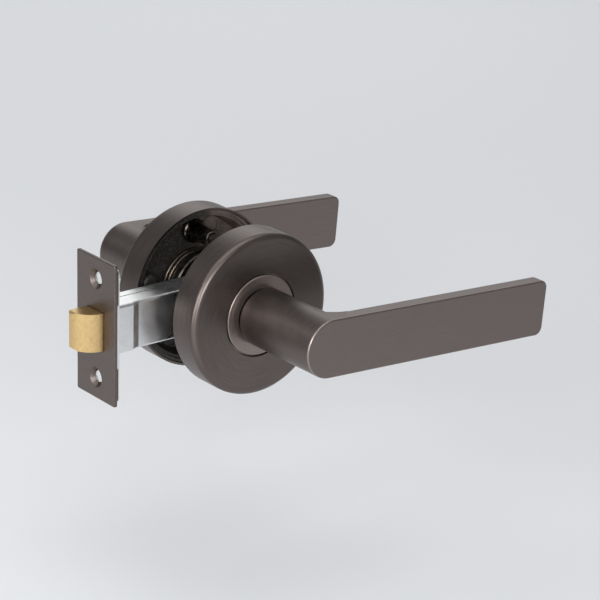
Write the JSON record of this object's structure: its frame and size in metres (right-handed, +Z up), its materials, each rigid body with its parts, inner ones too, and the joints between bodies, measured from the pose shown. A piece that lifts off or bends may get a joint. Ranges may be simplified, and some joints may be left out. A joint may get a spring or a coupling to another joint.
{
  "type": "passage latch set",
  "caption": "Lever handles on round roses, joined by a square spindle through a sprung tubular latch with a face plate, for an inner door without a lock.",
  "frame": {"origin": "on the spindle's axis, midway between the two roses, which is the middle of the door's thickness", "axes": "-X towards the latch plate at the door's edge, -Y towards the front lever, +Z up; the levers point to +X"},
  "size_m": [0.182, 0.1352, 0.0654],
  "materials": {
    "gunmetal_satin": "satin gunmetal plating",
    "cast_bronze_grey": "sand-cast zinc with a dark brown-grey plating",
    "blackened_steel": "black oxide",
    "spring_steel": "oiled spring wire",
    "plated_steel": "zinc-plated, satin",
    "zinc_plated_case": "bright zinc plating",
    "cast_zinc": "as cast",
    "satin_brass": "satin"
  },
  "bodies": {
    "fixed": {"front_rose_cover": "gunmetal_satin", "rear_rose_cover": "gunmetal_satin", "front_neck_ring": "gunmetal_satin", "rear_neck_ring": "gunmetal_satin", "front_mount_plate": "cast_bronze_grey", "rear_mount_plate": "cast_bronze_grey", "threaded_posts": "blackened_steel", "through_bolts": "blackened_steel", "latch_trim_plate": "gunmetal_satin", "latch_back_plate": "plated_steel", "latch_case_near": "zinc_plated_case", "latch_case_far": "zinc_plated_case", "case_rivet": "plated_steel", "front_lever_spring": "spring_steel", "rear_lever_spring": "spring_steel", "return_springs": "spring_steel"},
    "levers": {"front_lever": "gunmetal_satin", "front_drive_sleeve": "plated_steel", "front_drive_cam": "blackened_steel", "front_circlip": "spring_steel", "front_grub_screw": "blackened_steel", "rear_lever": "gunmetal_satin", "rear_drive_sleeve": "plated_steel", "rear_drive_cam": "blackened_steel", "rear_circlip": "spring_steel", "rear_grub_screw": "blackened_steel", "spindle_bar": "plated_steel", "latch_follower": "cast_zinc"},
    "retractor": {"retractor_yoke": "plated_steel", "drive_pin": "plated_steel"},
    "bolt": {"latch_bolt": "satin_brass", "bolt_stem": "plated_steel", "stem_clip": "spring_steel", "bolt_spring": "spring_steel"}
  },
  "joints": [
    {"name": "lever_turn", "type": "hinge", "parent": "fixed", "child": "levers", "pos_m": [0, 0, 0], "axis": [0, 1, 0], "range_deg": [0, 50], "stiffness_Nm_per_rad": 0.9, "springref_deg": -40.11, "deforming": ["front_lever_spring", "rear_lever_spring"]},
    {"name": "retractor_slide", "type": "slide", "parent": "fixed", "child": "retractor", "axis": [1, 0, 0], "range_m": [0, 0.0099], "deforming": ["return_springs"]},
    {"name": "bolt_push", "type": "slide", "parent": "retractor", "child": "bolt", "axis": [1, 0, 0], "range_m": [0, 0.009], "stiffness_N_per_m": 350, "springref_m": -0.006, "deforming": ["bolt_spring"]}
  ],
  "couplings": [
    {"joint": "retractor_slide", "follows": "lever_turn", "m_per_rad": 0.011329}
  ]
}
